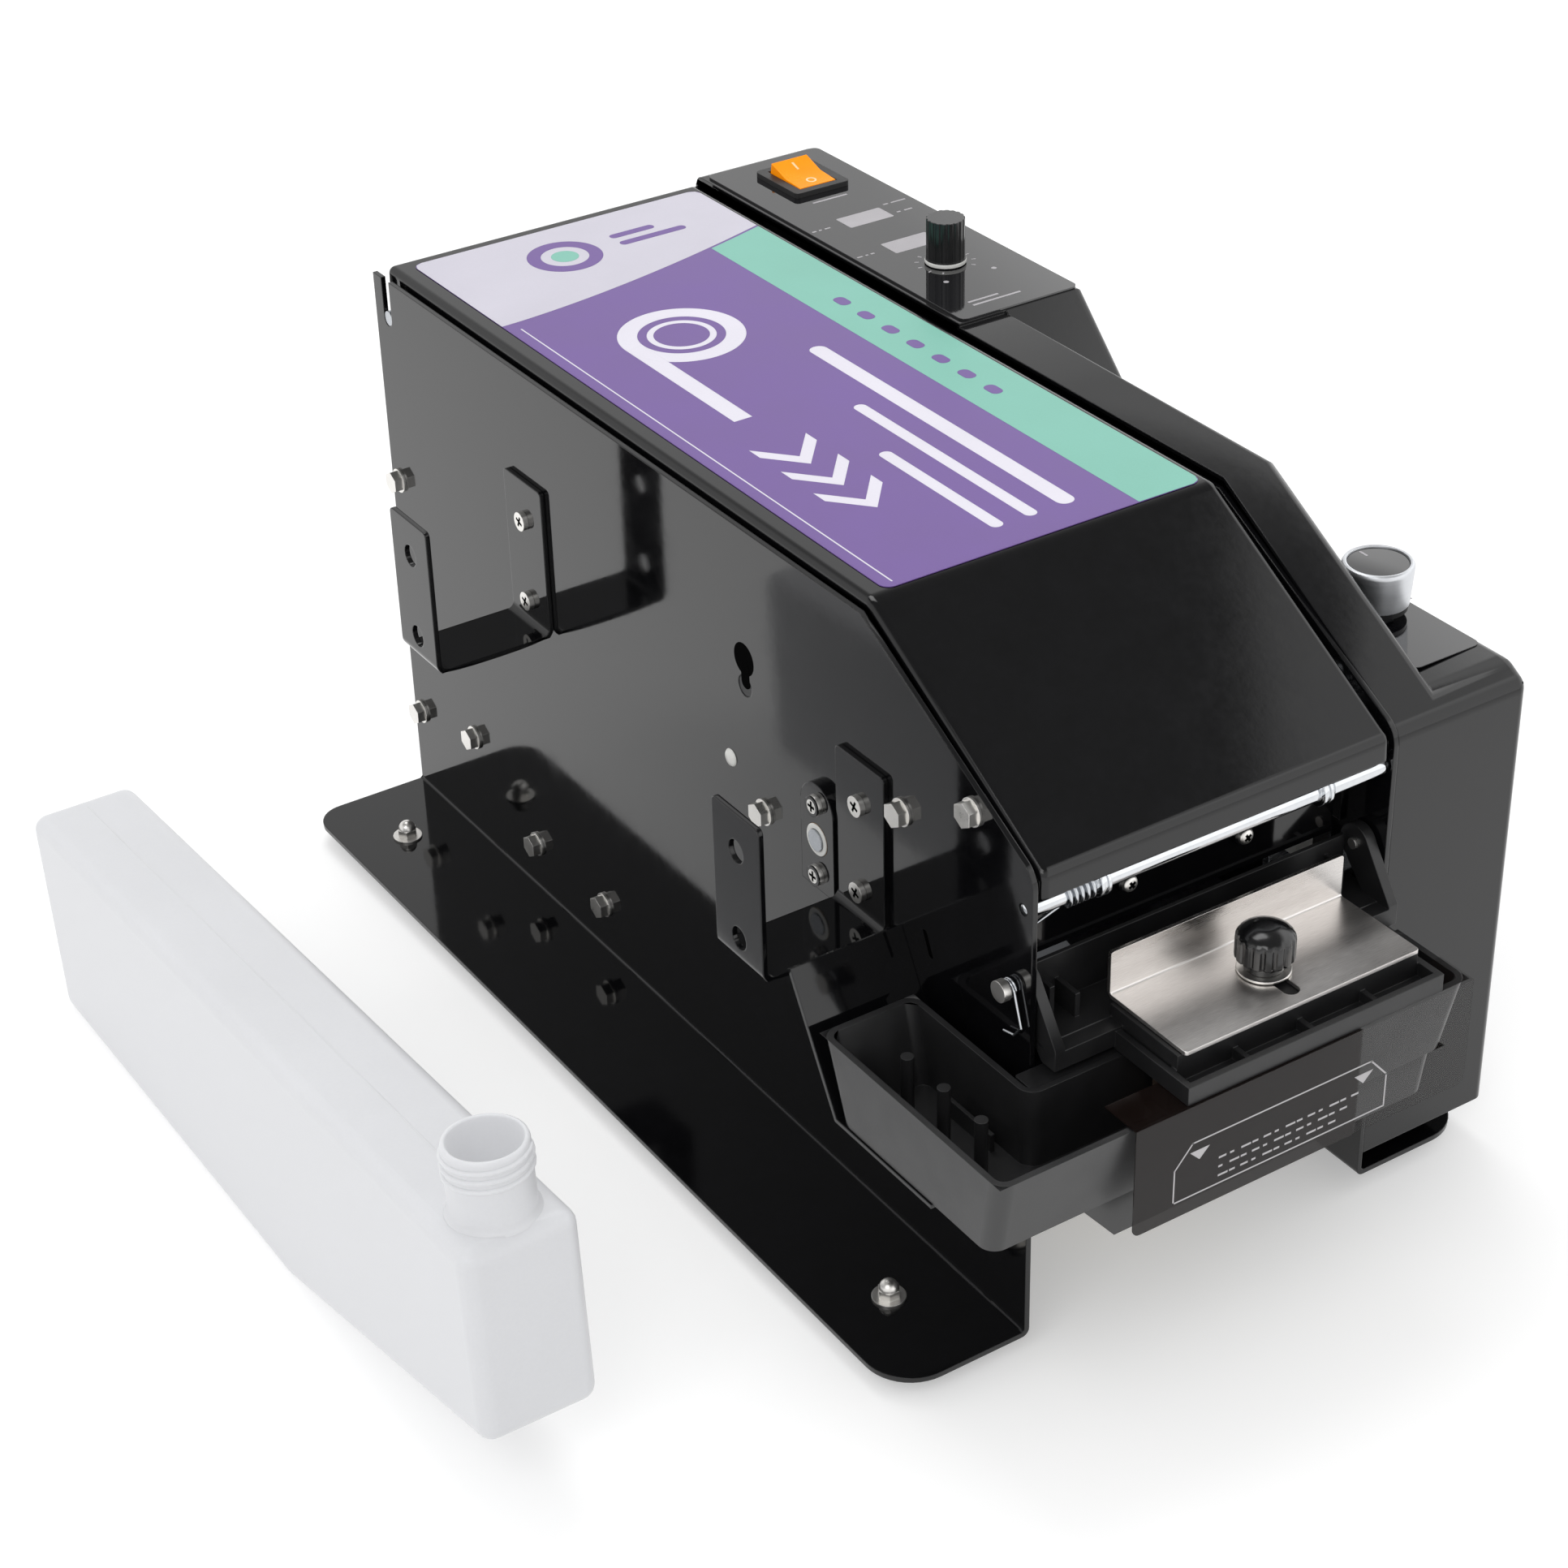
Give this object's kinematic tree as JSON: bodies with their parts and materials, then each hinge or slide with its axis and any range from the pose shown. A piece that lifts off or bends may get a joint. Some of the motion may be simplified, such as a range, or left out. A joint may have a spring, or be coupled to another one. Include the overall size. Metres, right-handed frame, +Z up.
{
  "type": "gummed tape dispenser",
  "caption": "Bench-top gummed tape dispenser with a hinged hood, control box, water tray with brush and cover, and its flat water bottle standing beside it.",
  "frame": {"origin": "middle of the footprint at the height of the surface it stands on", "axes": "+X towards the control box, +Y to the rear, +Z up"},
  "size_m": [0.394, 0.4786, 0.2671],
  "materials": {
    "black_steel": "gloss black powder coat",
    "zinc_steel": "bright zinc plate",
    "bright_steel": "ground bright steel",
    "chrome_rod": "polished chrome plate",
    "stainless_plate": "brushed stainless steel",
    "blade_steel": "ground tool steel",
    "bronze": "sintered bronze",
    "cast_aluminium": "cast and machined",
    "knob_aluminium": "satin turned",
    "yellow_zinc": "yellow passivated zinc",
    "switch_steel": "plated switch housing",
    "black_rubber": "matt moulded rubber",
    "white_nylon": "natural acetal",
    "black_plastic": "moulded, fine texture",
    "tray_plastic": "moulded, matt",
    "gloss_black": "phenolic knob",
    "orange_plastic": "translucent, lit from inside",
    "panel_grey": "printed overlay",
    "label_violet": "printed film",
    "board_green": "circuit board with components",
    "bristle_brown": "bristle in a plastic holder",
    "clear_film": "clear flexible film",
    "bottle_white": "translucent polyethylene"
  },
  "bodies": {
    "frame": {"left_side_plate": "black_steel", "right_side_plate": "black_steel", "rear_panel": "black_steel", "roll_basket": "black_steel", "control_box": "black_steel", "bottle_brackets": "black_steel", "tray_shelf": "black_steel", "outlet_plate": "black_steel", "lower_guide": "black_steel", "upper_guide": "black_steel", "bearing_plates": "black_steel", "frame_bolts": "zinc_steel", "foot_nuts": "zinc_steel", "bracket_screws": "zinc_steel", "cover_pivot_bolts": "zinc_steel", "roll_stop_bars": "bright_steel", "guide_tie_bars": "bright_steel", "support_axles": "bright_steel", "pressure_pivot_rod": "bright_steel", "return_spring": "bright_steel", "cover_spring": "bright_steel", "outlet_rod": "chrome_rod", "fixed_blade": "blade_steel", "feed_bushes": "bronze", "gear_motor": "cast_aluminium", "solenoid": "yellow_zinc", "length_control": "switch_steel", "mode_switch": "switch_steel", "rubber_feet": "black_rubber", "hood_bumpers": "black_rubber", "drive_belt": "black_rubber", "blade_guides": "white_nylon", "rocker_bezel": "black_plastic", "power_inlet": "black_plastic", "control_panel": "panel_grey", "mode_panel": "panel_grey", "control_board": "board_green"},
    "hood": {"hood": "black_steel", "hood_hinge_pins": "bright_steel", "hood_label": "label_violet"},
    "feed": {"feed_roller": "black_rubber", "feed_shaft": "bright_steel", "feed_pulley": "white_nylon"},
    "motor_drive": {"motor_pulley": "white_nylon"},
    "pressure": {"pressure_arms": "black_steel"},
    "pressure_roller": {"pressure_roller": "black_rubber"},
    "front_roll": {"front_support_roller": "white_nylon"},
    "rear_roll": {"rear_support_roller": "white_nylon"},
    "cutter": {"cutter_frame": "blade_steel", "solenoid_plunger": "bright_steel"},
    "rocker": {"power_rocker": "orange_plastic"},
    "length_knob": {"length_knob": "gloss_black"},
    "mode_knob": {"mode_knob": "knob_aluminium"},
    "tray": {"water_tray": "tray_plastic"},
    "brush": {"wetting_brush": "bristle_brown"},
    "brush_cover": {"brush_cover": "black_plastic", "splash_film": "clear_film"},
    "steel_plate": {"steel_plate": "stainless_plate"},
    "thumb_knob": {"thumb_knob": "gloss_black"},
    "bottle": {"water_bottle": "bottle_white"}
  },
  "joints": [
    {"name": "hood_hinge", "type": "hinge", "parent": "frame", "child": "hood", "pos_m": [0.0645, 0.22735, 0.2267], "axis": [-1, 0, 0], "range_deg": [0, 105]},
    {"name": "feed_spin", "type": "hinge", "parent": "frame", "child": "feed", "pos_m": [0.0645, -0.07705, 0.1462], "axis": [1, 0, 0], "continuous": true},
    {"name": "motor_spin", "type": "hinge", "parent": "frame", "child": "motor_drive", "pos_m": [0.15, -0.09775, 0.062], "axis": [1, 0, 0], "continuous": true},
    {"name": "pressure_lift", "type": "hinge", "parent": "frame", "child": "pressure", "pos_m": [0.0645, -0.02935, 0.1825], "axis": [-1, 0, 0], "range_deg": [0, 12], "stiffness_Nm_per_rad": 1, "springref_deg": -11.46},
    {"name": "pressure_roller_spin", "type": "hinge", "parent": "pressure", "child": "pressure_roller", "pos_m": [0.0645, -0.07705, 0.1785], "axis": [1, 0, 0], "continuous": true},
    {"name": "front_roll_spin", "type": "hinge", "parent": "frame", "child": "front_roll", "pos_m": [0.0645, 0.08055, 0.031], "axis": [1, 0, 0], "continuous": true},
    {"name": "rear_roll_spin", "type": "hinge", "parent": "frame", "child": "rear_roll", "pos_m": [0.0645, 0.13385, 0.031], "axis": [1, 0, 0], "continuous": true},
    {"name": "blade_drop", "type": "slide", "parent": "frame", "child": "cutter", "axis": [0, 0, -1], "range_m": [0, 0.014], "stiffness_N_per_m": 400, "springref_m": -0.01, "deforming": ["return_spring"]},
    {"name": "rocker_tilt", "type": "hinge", "parent": "frame", "child": "rocker", "pos_m": [0.1695, 0.20355, 0.2488], "axis": [-1, 0, 0], "range_deg": [0, 22]},
    {"name": "length_turn", "type": "hinge", "parent": "frame", "child": "length_knob", "pos_m": [0.1676, 0.10095, 0.25], "axis": [0, 0, 1], "range_deg": [-150, 150]},
    {"name": "mode_turn", "type": "hinge", "parent": "frame", "child": "mode_knob", "pos_m": [0.1795, -0.13475, 0.2], "axis": [0, 0, 1], "range_deg": [-60, 60]},
    {"name": "tray_out", "type": "slide", "parent": "frame", "child": "tray", "axis": [-1, 0, 0], "range_m": [0, 0.09]},
    {"name": "brush_out", "type": "slide", "parent": "tray", "child": "brush", "axis": [-1, 0, 0], "range_m": [0, 0.06]},
    {"name": "cover_lift", "type": "hinge", "parent": "frame", "child": "brush_cover", "pos_m": [0.0645, -0.18285, 0.1464], "axis": [-1, 0, 0], "range_deg": [0, 45], "stiffness_Nm_per_rad": 0.2, "springref_deg": -17.19},
    {"name": "plate_slide", "type": "slide", "parent": "brush_cover", "child": "steel_plate", "axis": [0, 1, 0], "range_m": [0, 0.012]},
    {"name": "thumb_turn", "type": "hinge", "parent": "brush_cover", "child": "thumb_knob", "pos_m": [0.07, -0.21055, 0.15], "axis": [0, 0, 1], "range_deg": [-180, 180]},
    {"name": "bottle_lift", "type": "slide", "parent": "frame", "child": "bottle", "axis": [0, 0, 1], "range_m": [0, 0.15]}
  ],
  "couplings": [
    {"joint": "motor_spin", "follows": "feed_spin", "ratio": 1.6},
    {"joint": "pressure_roller_spin", "follows": "feed_spin", "ratio": -2.2}
  ]
}
